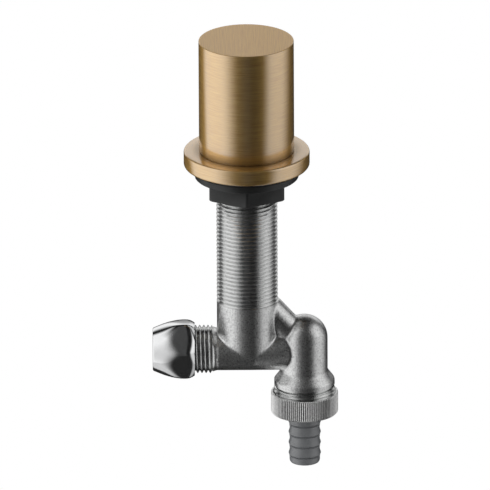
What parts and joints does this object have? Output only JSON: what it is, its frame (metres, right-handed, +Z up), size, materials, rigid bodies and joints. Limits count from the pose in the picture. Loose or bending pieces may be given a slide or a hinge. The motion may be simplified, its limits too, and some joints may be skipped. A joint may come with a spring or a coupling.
{
  "type": "shut-off valve",
  "caption": "Deck-mounted shut-off valve: a brushed cylinder handle over a threaded shank, with a compression inlet and a downward hose outlet.",
  "frame": {"origin": "on the spindle's axis at the underside of the rosette, where the worktop's top surface lies", "axes": "+Z up along the spindle towards the handle; -X out of the inlet; the outlet hangs at +X and points to -Z"},
  "size_m": [0.0802, 0.0544, 0.1947],
  "materials": {
    "brushed_bronze": "brushed bronze",
    "plated_metal": "satin plated casting",
    "polished_chrome": "polished",
    "black_plastic": "fine matte",
    "black_rubber": "matte",
    "grey_plastic": "matte",
    "white_plastic": "natural",
    "insert_plastic": "natural",
    "brass": "machined",
    "steel": "bright",
    "ceramic": "lapped"
  },
  "bodies": {
    "valve": {"body": "plated_metal", "rosette": "brushed_bronze", "rosette_gasket": "black_rubber", "clamp_washer": "black_plastic", "clamp_nut": "black_plastic", "guide_bush": "brass", "cartridge_housing": "brass", "cartridge_gasket": "black_rubber", "fixed_disc": "ceramic", "seat_seal": "black_rubber", "olive": "brass", "compression_nut": "polished_chrome", "union_nut": "plated_metal", "nozzle_seal": "black_rubber", "hose_nozzle": "grey_plastic", "check_valve_housing": "white_plastic", "check_valve_ring": "black_rubber"},
    "handle": {"handle": "brushed_bronze", "handle_insert": "insert_plastic", "grub_screw": "steel", "spindle": "brass", "spindle_circlip": "steel", "spindle_o_ring": "black_rubber", "turning_disc": "ceramic"},
    "check_poppet": {"check_valve_poppet": "white_plastic", "check_valve_spring": "steel"}
  },
  "joints": [
    {"name": "handle_turn", "type": "hinge", "parent": "valve", "child": "handle", "pos_m": [0, 0, 0], "axis": [0, 0, 1], "range_deg": [0, 90]},
    {"name": "check_lift", "type": "slide", "parent": "valve", "child": "check_poppet", "axis": [0, 0, -1], "range_m": [0, 0.003], "stiffness_N_per_m": 60, "springref_m": -0.002, "deforming": ["check_valve_spring"]}
  ]
}
